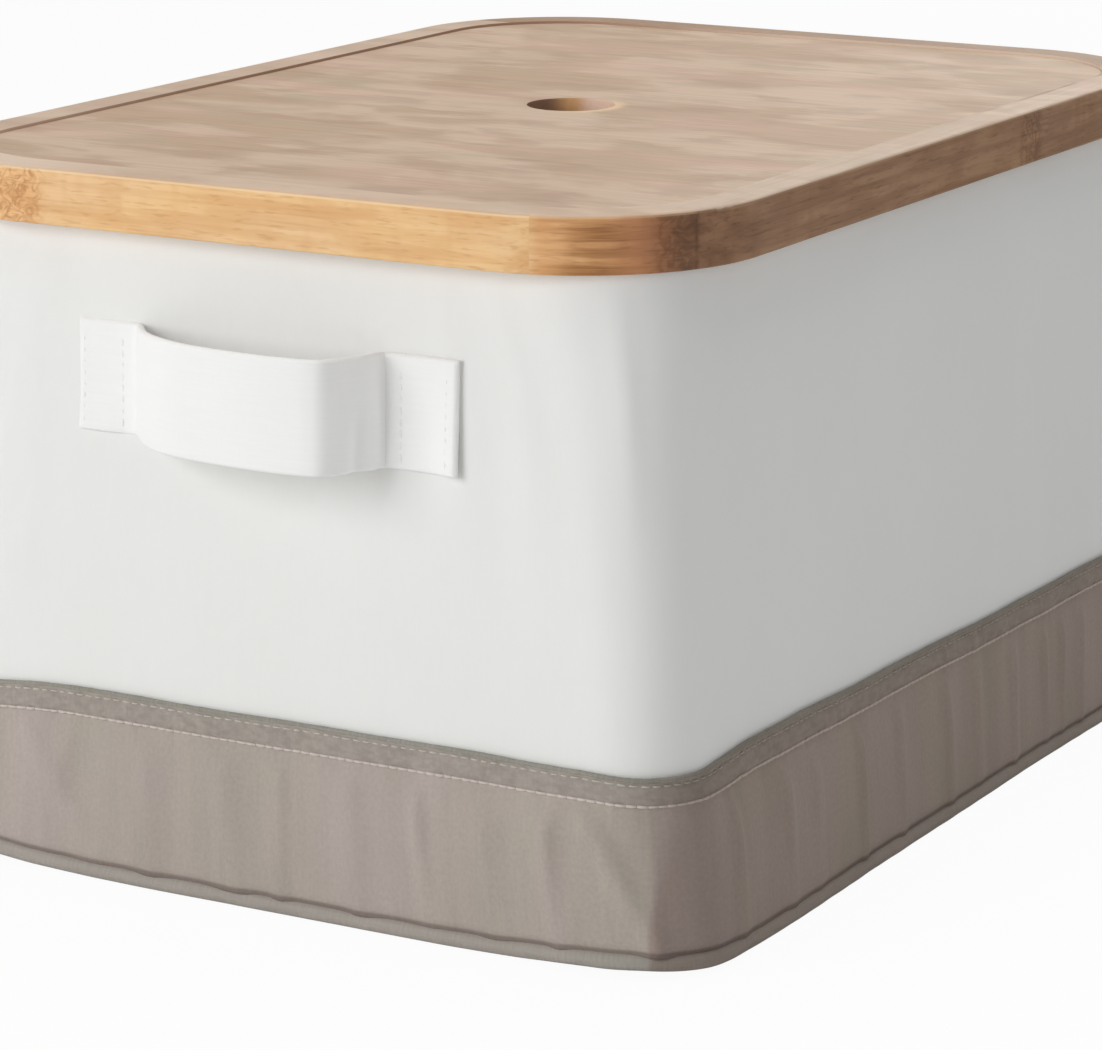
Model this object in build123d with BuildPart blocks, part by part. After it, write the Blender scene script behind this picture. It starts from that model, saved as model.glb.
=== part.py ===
from build123d import *
import math
import os

# Fabric storage bin with a bamboo-framed lift-off lid.
# Millimetres, +Z up, origin at the centre of the footprint on the surface it stands on.
# The short sides, with the carrying straps, face -Y (front) and +Y (back).

# Lid
lid_width = 250.0
lid_length = 350.0
lid_corner_radius = 52.0
overall_height = 200.0
frame_height = 15.5
frame_face_width = 12.0
frame_skirt = 6.8
frame_top_round = 1.2
frame_bottom_round = 0.7
ledge_width = 4.0
ledge_thickness = 3.0
panel_recess = 0.8
veneer_thickness = 0.6
core_thickness = 4.8
panel_clearance = 0.2
finger_hole_diameter = 26.0
# How far the joints between rails and corner pieces lie beyond the start of the corner's arc
short_rail_joint_overrun = 13.0
long_rail_joint_overrun = 23.0

# Bin walls, measured on the outer face of the white fabric
lid_fit_clearance = 0.4
lid_seat_gap = 0.3
wall_top_radius = 34.0
wall_base_width = 254.0
wall_base_length = 342.6
wall_base_radius = 22.0
fabric_thickness = 1.0
board_thickness = 2.5
lining_thickness = 0.8
layer_gap = 0.1
facing_depth = 24.0
board_joint_gap = 0.2
corner_board_lap = 2.0

# Bottom
base_fabric_thickness = 1.2
base_board_thickness = 3.0
edge_gap = 0.3
piping_diameter = 4.6
piping_lift = 0.3
piping_standout = 0.9

# Taupe band round the lower part of the walls
band_thickness = 1.1
band_top = 54.5

# Carrying strap, one on each short side
strap_width = 31.0
strap_thickness = 2.2
strap_centre_height = 143.8
strap_centre_offset = 3.5
strap_end_length = 20.0
loop_span = 80.0
loop_standoff = 21.5
steep_shoulder_radius = 9.0
gentle_shoulder_radius = 26.0
steep_shoulder_run = 5.0
gentle_shoulder_run = 22.0
steep_root_radius = 3.0
gentle_root_radius = 6.0
strap_gap = 0.1

# Heights that follow from the sizes above
frame_bottom = overall_height - frame_height
panel_thickness = core_thickness + 2 * veneer_thickness
panel_top = overall_height - panel_recess
panel_bottom = panel_top - panel_thickness
frame_seat = panel_bottom - ledge_thickness
wall_top = frame_seat - lid_seat_gap
wall_top_width = lid_width - 2 * (frame_skirt + lid_fit_clearance)
wall_top_length = lid_length - 2 * (frame_skirt + lid_fit_clearance)
base_board_bottom = base_fabric_thickness + layer_gap
base_board_top = base_board_bottom + base_board_thickness
wall_bottom = piping_lift + piping_diameter + edge_gap
floor_lining_bottom = base_board_top + layer_gap
floor_top = floor_lining_bottom + lining_thickness
board_top = wall_top - fabric_thickness - layer_gap
facing_bottom = wall_top - facing_depth

# Depths of the wall's layers behind the outer face of the white fabric
board_inset = fabric_thickness + layer_gap
lining_inset = board_inset + board_thickness + layer_gap
inner_face_inset = lining_inset + lining_thickness
band_inset = -(layer_gap + band_thickness)

# The piping's centre, and the edge of the bottom layers inside it
piping_radius = piping_diameter / 2
piping_height = piping_lift + piping_radius
piping_inset = band_inset - piping_standout + piping_radius
base_inset = piping_inset + piping_radius + layer_gap


def outline(height, width, length, radius):
    """A rounded rectangle at one height."""
    with BuildSketch(Plane.XY.offset(height)) as shape:
        RectangleRounded(width, length, radius)
    return shape.sketch


def lid_outline(height, inset):
    """The lid's outer edge, moved inwards by inset."""
    return outline(height, lid_width - 2 * inset, lid_length - 2 * inset, lid_corner_radius - inset)


def wall_outline(height, inset):
    """The white fabric's outer face at one height, moved inwards by inset. The walls taper upwards."""
    share = height / wall_top
    width = wall_base_width + (wall_top_width - wall_base_width) * share
    length = wall_base_length + (wall_top_length - wall_base_length) * share
    radius = wall_base_radius + (wall_top_radius - wall_base_radius) * share
    return outline(height, width - 2 * inset, length - 2 * inset, radius - inset)


def tapered(low, high, inset, mode=Mode.ADD):
    """A solid that follows the walls' taper between two heights."""
    loft(sections=[wall_outline(low, inset), wall_outline(high, inset)], ruled=True, mode=mode)


def wall_layer(low, high, inset, thickness):
    """A tapered ring, one layer of the wall."""
    tapered(low, high, inset)
    tapered(low, high, inset + thickness, mode=Mode.SUBTRACT)


def keep(x_from, x_to, y_from, y_to):
    """Keeps the part of the current solid that lies in this stretch of the footprint."""
    middle = ((x_from + x_to) / 2, (y_from + y_to) / 2, overall_height / 2)
    with Locations(middle):
        Box(x_to - x_from, y_to - y_from, 2 * overall_height, mode=Mode.INTERSECT)


def save(piece, name):
    piece.part.label = name
    export_step(piece.part, f"parts/{name}.step")


os.makedirs("parts", exist_ok=True)

# Lid frame: four rails and four corner pieces, glued end to end
frame_joint_x = lid_width / 2 - lid_corner_radius + short_rail_joint_overrun
frame_joint_y = lid_length / 2 - lid_corner_radius + long_rail_joint_overrun
far_x = lid_width
far_y = lid_length

frame_regions = {
    "lid_rail_front": (-frame_joint_x, frame_joint_x, -far_y, -frame_joint_y),
    "lid_rail_back": (-frame_joint_x, frame_joint_x, frame_joint_y, far_y),
    "lid_rail_left": (-far_x, 0, -frame_joint_y, frame_joint_y),
    "lid_rail_right": (0, far_x, -frame_joint_y, frame_joint_y),
    "lid_corner_front_left": (-far_x, -frame_joint_x, -far_y, -frame_joint_y),
    "lid_corner_front_right": (frame_joint_x, far_x, -far_y, -frame_joint_y),
    "lid_corner_back_left": (-far_x, -frame_joint_x, frame_joint_y, far_y),
    "lid_corner_back_right": (frame_joint_x, far_x, frame_joint_y, far_y),
}

for name, region in frame_regions.items():
    with BuildPart() as frame_piece:
        extrude(lid_outline(frame_bottom, 0), amount=frame_height)
        fillet(frame_piece.edges().group_by(Axis.Z)[-1], radius=frame_top_round)
        fillet(frame_piece.edges().group_by(Axis.Z)[0], radius=frame_bottom_round)
        # Rabbet that the panel lies in, and the opening inside its ledge
        extrude(lid_outline(panel_bottom, frame_face_width), amount=frame_height, mode=Mode.SUBTRACT)
        extrude(
            lid_outline(frame_bottom, frame_face_width + ledge_width),
            amount=frame_height,
            mode=Mode.SUBTRACT,
        )
        # Rabbet that drops over the top of the walls
        extrude(
            outline(
                frame_bottom,
                wall_top_width + 2 * lid_fit_clearance,
                wall_top_length + 2 * lid_fit_clearance,
                wall_top_radius + lid_fit_clearance,
            ),
            amount=frame_seat - frame_bottom,
            mode=Mode.SUBTRACT,
        )
        keep(*region)
    save(frame_piece, name)

# Lid panel: a core between two bamboo veneers, with a finger hole in the middle
panel_layers = {
    "lid_panel_bottom_veneer": (panel_bottom, veneer_thickness),
    "lid_panel_core": (panel_bottom + veneer_thickness, core_thickness),
    "lid_panel_top_veneer": (panel_top - veneer_thickness, veneer_thickness),
}

for name, (height, thickness) in panel_layers.items():
    with BuildPart() as panel_layer:
        extrude(lid_outline(height, frame_face_width + panel_clearance), amount=thickness)
        Hole(radius=finger_hole_diameter / 2)
    save(panel_layer, name)

# White outer fabric, turned over the top of the walls and hemmed down inside
with BuildPart() as outer_fabric:
    tapered(wall_bottom, wall_top, 0)
    tapered(wall_bottom, wall_top - fabric_thickness, fabric_thickness, mode=Mode.SUBTRACT)
    tapered(facing_bottom, wall_top - fabric_thickness, lining_inset)
    tapered(facing_bottom, wall_top, inner_face_inset, mode=Mode.SUBTRACT)
save(outer_fabric, "outer_fabric")

# Stiffening boards: a flat one in each wall and a bent one in each corner
board_joint_x = wall_top_width / 2 - wall_top_radius - corner_board_lap
board_joint_y = wall_top_length / 2 - wall_top_radius - corner_board_lap
flat_x = board_joint_x - board_joint_gap
flat_y = board_joint_y - board_joint_gap

board_regions = {
    "wall_board_front": (-flat_x, flat_x, -far_y, 0),
    "wall_board_back": (-flat_x, flat_x, 0, far_y),
    "wall_board_left": (-far_x, 0, -flat_y, flat_y),
    "wall_board_right": (0, far_x, -flat_y, flat_y),
    "corner_board_front_left": (-far_x, -board_joint_x, -far_y, -board_joint_y),
    "corner_board_front_right": (board_joint_x, far_x, -far_y, -board_joint_y),
    "corner_board_back_left": (-far_x, -board_joint_x, board_joint_y, far_y),
    "corner_board_back_right": (board_joint_x, far_x, board_joint_y, far_y),
}

for name, region in board_regions.items():
    with BuildPart() as board:
        wall_layer(wall_bottom, board_top, board_inset, board_thickness)
        keep(*region)
    save(board, name)

# Lining of the walls, up to the hem of the outer fabric
with BuildPart() as wall_lining:
    wall_layer(floor_top + layer_gap, facing_bottom - layer_gap, lining_inset, lining_thickness)
save(wall_lining, "wall_lining")

# Piping sewn round the bottom edge
with BuildPart() as bottom_piping:
    piping_path = wall_outline(piping_height, piping_inset).face().outer_wire()
    with BuildSketch(Plane(origin=piping_path @ 0, z_dir=piping_path % 0)):
        Circle(piping_radius)
    sweep(path=piping_path)
save(bottom_piping, "bottom_piping")

# Bottom inside the piping: fabric, board and lining
with BuildPart() as base_fabric:
    extrude(wall_outline(0, base_inset), amount=base_fabric_thickness)
save(base_fabric, "base_fabric")

with BuildPart() as base_board:
    extrude(wall_outline(base_board_bottom, base_inset), amount=base_board_thickness)
save(base_board, "base_board")

with BuildPart() as floor_lining:
    extrude(wall_outline(floor_lining_bottom, lining_inset + layer_gap), amount=lining_thickness)
save(floor_lining, "floor_lining")

# Taupe band over the lower part of the white fabric
with BuildPart() as base_band:
    wall_layer(wall_bottom, band_top, band_inset, band_thickness)
save(base_band, "base_band")

# Carrying strap: one strip, sewn flat at both ends, its middle bowed out as a loop.
# It is drawn seen from above, y pointing away from the wall, on a plane square to the leaning wall.
wall_lean = math.atan((wall_base_length - wall_top_length) / 2 / wall_top)
face_at_strap = wall_base_length / 2 - math.tan(wall_lean) * strap_centre_height + strap_gap
strap_seat = strap_thickness / 2
loop_top = strap_seat + loop_standoff
loop_start = -loop_span / 2
loop_end = loop_span / 2

with BuildLine() as strap_line:
    FilletPolyline(
        (loop_start - strap_end_length, strap_seat),
        (loop_start, strap_seat),
        (loop_start + steep_shoulder_run, loop_top),
        (loop_end - gentle_shoulder_run, loop_top),
        (loop_end, strap_seat),
        (loop_end + strap_end_length, strap_seat),
        radius=[
            steep_root_radius,
            steep_shoulder_radius,
            gentle_shoulder_radius,
            gentle_root_radius,
        ],
    )

for name, side in {"front_strap": -1, "back_strap": 1}.items():
    strap_plane = Plane(
        origin=(-side * strap_centre_offset, side * face_at_strap, strap_centre_height),
        x_dir=(side, 0, 0),
        z_dir=(0, -side * math.sin(wall_lean), math.cos(wall_lean)),
    )
    with BuildPart() as strap:
        with BuildSketch(strap_plane):
            trace(strap_line.line, line_width=strap_thickness)
        extrude(amount=strap_width / 2, both=True)
    save(strap, name)
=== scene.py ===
"""Looks of a fabric storage bin with a bamboo-framed lid, built around its CAD model. Metres, +Z up."""

from math import atan, cos, pi, radians, sin, sqrt

import bmesh
import bpy
import numpy as np
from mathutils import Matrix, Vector


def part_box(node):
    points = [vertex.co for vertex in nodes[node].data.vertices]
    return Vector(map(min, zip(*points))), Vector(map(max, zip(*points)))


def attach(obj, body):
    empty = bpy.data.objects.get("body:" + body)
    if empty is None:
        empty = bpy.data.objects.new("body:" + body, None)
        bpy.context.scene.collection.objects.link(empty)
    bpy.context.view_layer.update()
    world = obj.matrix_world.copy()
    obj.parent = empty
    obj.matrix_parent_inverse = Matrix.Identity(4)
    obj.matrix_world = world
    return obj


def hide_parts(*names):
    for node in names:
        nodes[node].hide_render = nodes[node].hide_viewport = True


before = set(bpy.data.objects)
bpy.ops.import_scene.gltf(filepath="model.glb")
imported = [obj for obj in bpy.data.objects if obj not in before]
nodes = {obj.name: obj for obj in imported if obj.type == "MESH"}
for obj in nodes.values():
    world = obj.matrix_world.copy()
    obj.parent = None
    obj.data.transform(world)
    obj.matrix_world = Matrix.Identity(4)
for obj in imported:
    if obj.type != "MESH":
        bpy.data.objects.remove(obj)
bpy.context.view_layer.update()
scene = bpy.context.scene
MM = 0.001

# Sizes that the frame doesn't hold as a box
wall_base_radius = 22 * MM
wall_top_radius = 34 * MM
fabric_thickness = 1.0 * MM
lining_thickness = 0.8 * MM
board_thickness = 2.5 * MM
layer_gap = 0.1 * MM
band_thickness = 1.1 * MM
facing_depth = 24 * MM
lid_corner_radius = 52 * MM
right_rail_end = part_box("lid_rail_right")[1]
arc_x, joint_y = right_rail_end.x - lid_corner_radius, right_rail_end.y
arc_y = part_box("lid_rail_back")[1].y - lid_corner_radius
hole_radius = 13 * MM
strap_width = 31 * MM
strap_thickness = 2.2 * MM
strap_offset = 3.5 * MM

# Between these heights the fabric draws its corners this much tighter than the boards'
corner_draw = 7 * MM
draw_start = (20 * MM, 90 * MM)
draw_end = (150 * MM, 183 * MM)

# Depths behind the white fabric's outer face
lining_inset = fabric_thickness + board_thickness + 2 * layer_gap
face_inset = lining_inset + lining_thickness
band_outset = layer_gap + band_thickness

band_low, band_high = (corner.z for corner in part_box("base_band"))
band_length = band_high - band_low
# The band's corner creases stand this far out from the middle plane
crease_x = 119.2 * MM
# Depths of the band's two rows of stitches below its top edge
upper_row = 1.7 * MM
lower_row = 7.4 * MM
# The band's foot is sewn in behind the piping, this far down and this far out
foot_reach = 0.9 * MM
foot_outset = 0.4 * MM
# From one yarn to the next in every cloth
yarn_pitch = 0.45 * MM

wall_boards = [n for n in nodes if n.startswith(("wall_board", "corner_board"))]


# Numbers and curves


def ramp(low, high, x):
    """0 below low, 1 above high, and an even curve between."""
    t = np.clip((np.asarray(x, float) - low) / (high - low), 0, 1)
    return t * t * (3 - 2 * t)


def bump(x, middle, width):
    """A soft hump of height 1."""
    return np.exp(-(((x - middle) / width) ** 2))


def distances(line):
    """How far along a line each of its points lies."""
    return np.concatenate([[0], np.cumsum(np.linalg.norm(np.diff(line, axis=0), axis=1))])


class SoftNoise:
    """Smooth noise along a closed line and up a height, of waves no shorter than so many millimetres."""

    def __init__(self, seed, around, shortest, shortest_up, waves=28):
        rng = np.random.default_rng(seed)
        self.turns = rng.integers(1, max(2, int(around / (shortest * MM))), waves)
        self.rise = rng.uniform(-1, 1, waves) / (shortest_up * MM)
        self.phase = rng.uniform(0, 2 * pi, waves)
        self.size = rng.uniform(0.4, 1, waves) / np.sqrt(self.turns)
        self.size /= np.sqrt((self.size**2).sum() / 2)
        self.around = around

    def __call__(self, s, z):
        total = 0.0
        for turns, rise, phase, size in zip(self.turns, self.rise, self.phase, self.size):
            total = total + size * np.cos(2 * pi * (turns * s / self.around + rise * z) + phase)
        return total


# The bin's tapered, rounded walls


def half_sizes(node, end):
    """A node's half width, half length and height at its lowest (0) or highest (1) points."""
    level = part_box(node)[end].z
    points = [v.co for v in nodes[node].data.vertices if abs(v.co.z - level) < 0.05 * MM]
    return max(abs(p.x) for p in points), max(abs(p.y) for p in points), level


base_half_x, base_half_y, wall_bottom = half_sizes("outer_fabric", 0)
top_half_x, top_half_y, wall_top = half_sizes("outer_fabric", 1)


def wall_sizes(z):
    """Half width, half length and corner radius of the white fabric's outer face at a height."""
    share = (z - wall_bottom) / (wall_top - wall_bottom)
    half_x = base_half_x + (top_half_x - base_half_x) * share
    half_y = base_half_y + (top_half_y - base_half_y) * share
    radius = wall_base_radius + (wall_top_radius - wall_base_radius) * z / wall_top
    return half_x, half_y, radius


def drawn_sizes(z):
    """The same with the fabric's tighter corners."""
    half_x, half_y, radius = wall_sizes(z)
    tight = ramp(*draw_start, z) * (1 - ramp(*draw_end, z))
    return half_x, half_y, radius - corner_draw * tight


class Stations:
    """Places round a rounded rectangle, from the front face's left end, anticlockwise seen from above."""

    def __init__(self, step):
        half_x, half_y, radius = wall_sizes(wall_bottom)
        arc = radius * pi / 2
        runs = [2 * (half_x - radius), arc, 2 * (half_y - radius), arc] * 2
        counts = [max(4, round(run / step)) for run in runs]
        self.side = np.repeat(np.arange(len(runs)), counts)
        self.share = np.concatenate([np.arange(count) / count for count in counts])
        points, _ = self.ring(half_x, half_y, radius)
        travelled = distances(np.vstack([points, points[:1]]))
        self.s, self.around = travelled[:-1], travelled[-1]

    def ring(self, half_x, half_y, radius):
        """Points on the outline, and the outward normals there."""
        points, normals = np.zeros((2, len(self.side), 2))
        inner = np.array([half_x - radius, half_y - radius])
        for quarter in range(4):
            c, s = ((1, 0), (0, 1), (-1, 0), (0, -1))[quarter]
            spin = np.array([[c, -s], [s, c]])
            # From this quarter the straight side is below and the corner at the lower right
            across, down = inner if quarter % 2 == 0 else inner[::-1]
            straight, corner = self.side == 2 * quarter, self.side == 2 * quarter + 1
            k = self.share[straight]
            flat = np.stack([across * (2 * k - 1), np.full(k.shape, -down - radius)], 1)
            points[straight] = flat @ spin.T
            normals[straight] = spin @ np.array([0, -1])
            angle = (self.share[corner] - 1) * pi / 2
            out = np.stack([np.cos(angle), np.sin(angle)], 1)
            points[corner] = (np.array([across, -down]) + radius * out) @ spin.T
            normals[corner] = out @ spin.T
        return points, normals

    def wall(self, z, outset, sizes=wall_sizes):
        """Points at height z, outset from the white fabric's outer face."""
        z = np.broadcast_to(np.asarray(z, float), self.s.shape)
        points, normals = self.ring(*sizes(float(z.mean())))
        return np.column_stack([points + normals * np.broadcast_to(outset, self.s.shape)[:, None], z])

    def near(self, x, y):
        """How far round the wall a place is that is given in millimetres from the middle."""
        points, _ = self.ring(*wall_sizes(wall_bottom))
        return self.s[np.argmin(np.linalg.norm(points - np.array([x, y]) * MM, axis=1))]

    def off(self, place):
        """How far every station lies from a distance round the wall, the short way."""
        return (self.s - place + self.around / 2) % self.around - self.around / 2

    def along(self, marks, blur=14 * MM):
        """A smooth value round the wall from (x, y, value) marks in millimetres, alike at both ends."""
        places = sorted((self.near(k * x, k * y), value) for x, y, value in marks for k in (1, -1))
        at, values = np.array(places).T
        samples = 2048
        even = np.linspace(0, self.around, samples, endpoint=False)
        value = np.interp(even, at, values, period=self.around)
        window = np.hanning(max(3, round(blur / self.around * samples) | 1))
        value = np.convolve(np.tile(value, 3), window / window.sum(), "same")[samples : 2 * samples]
        return np.interp(self.s, even, value, period=self.around) * MM


# Meshes


def linked(name, data):
    """A scene object that holds the data."""
    made = bpy.data.objects.new(name, data)
    scene.collection.objects.link(made)
    return made


def mesh_object(name, points, faces, uvs=None):
    """A mesh object from points, faces and, where given, one UV for each corner of each face."""
    mesh = bpy.data.meshes.new(name)
    mesh.from_pydata([tuple(p) for p in points], [], [tuple(f) for f in faces])
    if uvs is not None:
        layer = mesh.uv_layers.new(name="UVMap")
        layer.data.foreach_set("uv", np.asarray(uvs, np.float32).ravel())
    mesh.polygons.foreach_set("use_smooth", [True] * len(mesh.polygons))
    mesh.update()
    return linked(name, mesh)


def grid_object(name, rows, u, v, close_rows=True):
    """A mesh over closed rows of points. u is each column's UV in metres and v each row's."""
    rows = np.asarray(rows, float)
    count, width = rows.shape[:2]
    i, j = np.meshgrid(np.arange(count if close_rows else count - 1), np.arange(width), indexing="ij")
    i, j = i.ravel(), j.ravel()
    i2, j2 = (i + 1) % count, (j + 1) % width
    faces = np.stack([i * width + j, i * width + j2, i2 * width + j2, i2 * width + j], 1)
    u_far, v_far = (np.append(uv[1:], uv[-1] + (uv[-1] - uv[-2])) for uv in (u, v))
    corners = ((u[j], v[i]), (u_far[j], v[i]), (u_far[j], v_far[i]), (u[j], v_far[i]))
    uvs = np.stack([np.stack(corner, 1) for corner in corners], 1)
    return mesh_object(name, rows.reshape(-1, 3), faces, uvs.reshape(-1, 2))


def close_ends(piece, width, flat=False):
    """Closes a grid's first and last rings. A flat cloth's weave then runs straight across it."""
    work = bmesh.new()
    work.from_mesh(piece.data)
    work.verts.ensure_lookup_table()
    count = len(work.verts)
    for ring in (range(width), range(count - 1, count - width - 1, -1)):
        work.faces.new([work.verts[k] for k in (ring[::-1] if flat else ring)])
    bmesh.ops.recalc_face_normals(work, faces=work.faces)
    if flat:
        layer = work.loops.layers.uv.verify()
        for face in work.faces:
            for loop in face.loops:
                loop[layer].uv = loop.vert.co.xy
    work.to_mesh(piece.data)
    work.free()
    for polygon in piece.data.polygons:
        polygon.use_smooth = True


def thread_stitch(start, end, normal, radius):
    """One stitch: a short rounded bar of thread, sunk at its ends."""
    # Rings along it: (share of the length, height, width)
    rings = ((0.0, -1.0, 0.45), (0.12, -0.1, 0.9), (0.5, 0.25, 1.0), (0.88, -0.1, 0.9), (1.0, -1.0, 0.45))
    side = np.cross(normal, (end - start) / max(np.linalg.norm(end - start), 1e-9))
    sides, points = 8, []
    for share, lift, width in rings:
        centre = start + (end - start) * share + normal * radius * lift
        for k in range(sides):
            angle = 2 * pi * k / sides
            points.append(centre + radius * width * (side * cos(angle) + normal * sin(angle)))
    faces = []
    for r in range(0, len(points) - sides, sides):
        for k in range(sides):
            ahead = r + (k + 1) % sides
            faces.append((r + k, ahead, ahead + sides, r + k + sides))
    return points, faces + [range(sides - 1, -1, -1), range(len(points) - sides, len(points))]


def stitch_row(line, normals, length, gap, radius):
    """Stitches of slightly uneven lengths, laid end to end along a line of points."""
    rng = np.random.default_rng(7)
    line, normals = np.asarray(line, float), np.asarray(normals, float)
    travelled = distances(line)

    def at(distance, values):
        return np.array([np.interp(distance, travelled, values[:, k]) for k in range(3)])

    made, here = [], gap / 2
    while here + 1.15 * length < travelled[-1]:
        reach = length * rng.uniform(0.85, 1.15)
        normal = at(here + reach / 2, normals)
        normal /= np.linalg.norm(normal)
        thick = radius * rng.uniform(0.85, 1.1)
        made.append(thread_stitch(at(here, line), at(here + reach, line), normal, thick))
        here += reach + gap
    return made


def stitching(name, stitches):
    """One object from a list of stitches."""
    points, faces, start = [], [], 0
    for stitch_points, stitch_faces in stitches:
        points.append(np.asarray(stitch_points))
        faces += [[start + k for k in face] for face in stitch_faces]
        start += len(stitch_points)
    return mesh_object(name, np.concatenate(points), faces)


# Materials


def rgb(*srgb):
    """0 to 255 sRGB values as Blender's linear colour."""
    values = [c / 255 for c in srgb]
    return (*[c / 12.92 if c <= 0.04045 else ((c + 0.055) / 1.055) ** 2.4 for c in values], 1)


def darker(colour, share):
    return (*[share * c for c in colour[:3]], 1)


class Nodes:
    """Short calls that add nodes to a tree."""

    def __init__(self, tree):
        self.tree = tree

    def add(self, kind, inputs=(), **settings):
        """Adds a node. inputs maps its sockets to values or to other nodes' outputs."""
        made = self.tree.nodes.new("ShaderNode" + kind)
        for key, value in settings.items():
            setattr(made, key, value)
        for key, value in dict(inputs).items():
            if isinstance(value, bpy.types.NodeSocket):
                self.tree.links.new(value, made.inputs[key])
            else:
                made.inputs[key].default_value = value
        return made

    def math(self, operation, a, b=0.0):
        return self.add("Math", {0: a, 1: b}, operation=operation).outputs[0]

    def times(self, a, b):
        return self.math("MULTIPLY", a, b)

    def show_white(self, lit, kind, end, share):
        """Lets the camera see white instead of something lit, by a share."""
        seen = self.times(self.add("LightPath").outputs["Is Camera Ray"], share)
        white = self.add(kind, {"Color": (1, 1, 1, 1), "Strength": 1.0})
        mixed = self.add("MixShader", {0: seen, 1: lit.outputs[0], 2: white.outputs[0]})
        self.tree.links.new(mixed.outputs[0], self.tree.nodes[end].inputs["Surface"])


class Shader(Nodes):
    """A material."""

    def __init__(self, name, roughness, **sockets):
        self.material = bpy.data.materials.new(name)
        self.material.use_nodes = True
        super().__init__(self.material.node_tree)
        self.surface = self.tree.nodes["Principled BSDF"]
        self.surface.inputs["Roughness"].default_value = roughness
        for socket, value in sockets.items():
            self.surface.inputs[socket.replace("_", " ")].default_value = value

    def place(self, kind="Object"):
        """Where a point lies on its object, in metres, or its UV or normal."""
        return self.add("TexCoord").outputs[kind]

    def split(self, vector):
        return self.add("SeparateXYZ", {0: vector}).outputs

    def vector(self, operation, a, b=(0, 0, 0)):
        made = self.add("VectorMath", {0: a, 1: b}, operation=operation)
        return made.outputs["Value" if operation in ("LENGTH", "DOT_PRODUCT") else "Vector"]

    def noise(self, place, scale=(1, 1, 1), shift=(0, 0, 0), detail=3, roughness=0.5, distortion=0.0):
        place = self.add("Mapping", {0: place, "Location": shift, "Scale": scale}).outputs[0]
        inputs = {"Vector": place, "Scale": 1, "Detail": detail, "Roughness": roughness}
        inputs["Distortion"] = distortion
        return self.add("TexNoise", inputs).outputs["Fac"]

    def ranged(self, value, low, high, to_low=0.0, to_high=1.0):
        inputs = {"Value": value, 1: low, 2: high, 3: to_low, 4: to_high}
        return self.add("MapRange", inputs, interpolation_type="SMOOTHSTEP").outputs[0]

    def mix(self, factor, a, b, blend="MIX"):
        inputs = {0: factor, 6: a, 7: b}
        return self.add("Mix", inputs, data_type="RGBA", blend_type=blend).outputs[2]

    def blend(self, colour, other, value, low, high, share=1.0):
        """A colour that turns into another, up to a share, while a value goes from low to high."""
        return self.mix(self.ranged(value, low, high, 0, share), colour, other)

    def tinted(self, colour, tint):
        return self.mix(1.0, colour, tint, "MULTIPLY")

    def finish(self, colour, height, strength, distance, roughness=None):
        """Gives the surface its colour, its bumps and, where it varies, its roughness."""
        inputs = {"Height": height, "Strength": strength, "Distance": distance}
        bumps = self.add("Bump", inputs).outputs[0]
        for socket, value in (("Base Color", colour), ("Normal", bumps), ("Roughness", roughness)):
            if value is not None:
                self.tree.links.new(value, self.surface.inputs[socket])
        return self.material


def woven(
    name, colour, second, weave=0.2, slub=0.03, blotch=0.5, stripes=0.0, side=None, hem=None, foot=None
):
    """Plain-weave cloth, on UVs in metres: yarns over and under, uneven yarns, and slow changes of tone.

    side paints shade on the bin's long sides, hem tints the band down to its lower stitches, and foot paints
    shade in its bottom seam.
    """
    s = Shader(name, 0.9, Sheen_Weight=0.1, Sheen_Roughness=0.5, Specular_IOR_Level=0.2)
    uv = s.place("UV")
    across, down, _ = s.split(uv)
    warp, weft = (s.math("SINE", s.times(axis, pi / yarn_pitch)) for axis in (across, down))
    lift = s.ranged(s.times(warp, weft), -1, 1)
    # Threads of uneven thickness: long and thin along each direction
    along_u, along_v = s.noise(uv, (90, 1300, 1), detail=2), s.noise(uv, (1300, 60, 1), detail=2)
    threads = s.math("ADD", s.times(along_u, 0.6), s.times(along_v, 1.4))
    upright = s.noise(uv, (70, 7, 1), roughness=0.6)
    clouds = s.noise(s.place(), (24, 24, 9), (0.6, 0, 0))
    tone = s.ranged(threads, 0.75, 1.25, 1 - slub, 1 + slub)
    tone = s.times(tone, s.ranged(lift, 0, 1, 1 - 0.1 * weave, 1.0))
    tone = s.times(tone, s.ranged(upright, 0.3, 0.7, 1 - stripes, 1 + stripes))
    share = s.ranged(clouds, 0.3, 0.7, 0, blotch)
    if side:
        share = corner_share(s, share)
    mixed = s.mix(share, colour, second)
    if hem:
        tone = s.times(tone, s.ranged(s.noise(uv, (900, 800, 1), detail=2), 0.3, 0.7, 0.96, 1.04))
        depth = s.times(down, -1.0)
        share = s.ranged(depth, lower_row - 0.6 * MM, lower_row + 0.3 * MM, 0.75, 0)
        speckled = s.blend(hem, darker(hem, 0.8), s.noise(uv, (240, 520, 1)), 0.35, 0.68)
        mixed = s.mix(share, mixed, speckled)
        # Painted shade in the seam where the band's foot tucks behind the piping
        mixed = s.blend(mixed, foot, depth, band_length - 2.3 * MM, band_length - 1.1 * MM, 0.65)
    # Painted shade on the long sides and corners
    if side:
        mixed = painted_side_shade(s, mixed, side)
    return s.finish(s.tinted(mixed, tone), lift, weave, 0.1 * MM)


def corner_share(s, share):
    """A second tone's share, with more of it before the corners' creases and less beyond them."""
    across, lengthwise, _ = s.split(s.vector("ABSOLUTE", s.place()))
    beyond = s.ranged(across, crease_x - 0.5 * MM, crease_x + 1.5 * MM)
    before = s.math("SUBTRACT", s.ranged(across, crease_x - 26 * MM, crease_x - 17 * MM), beyond)
    less = s.times(s.times(beyond, s.ranged(lengthwise, 132 * MM, 146 * MM)), share)
    more = s.times(before, s.math("SUBTRACT", 0.8, share))
    return s.math("SUBTRACT", s.math("ADD", share, more), less)


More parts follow.
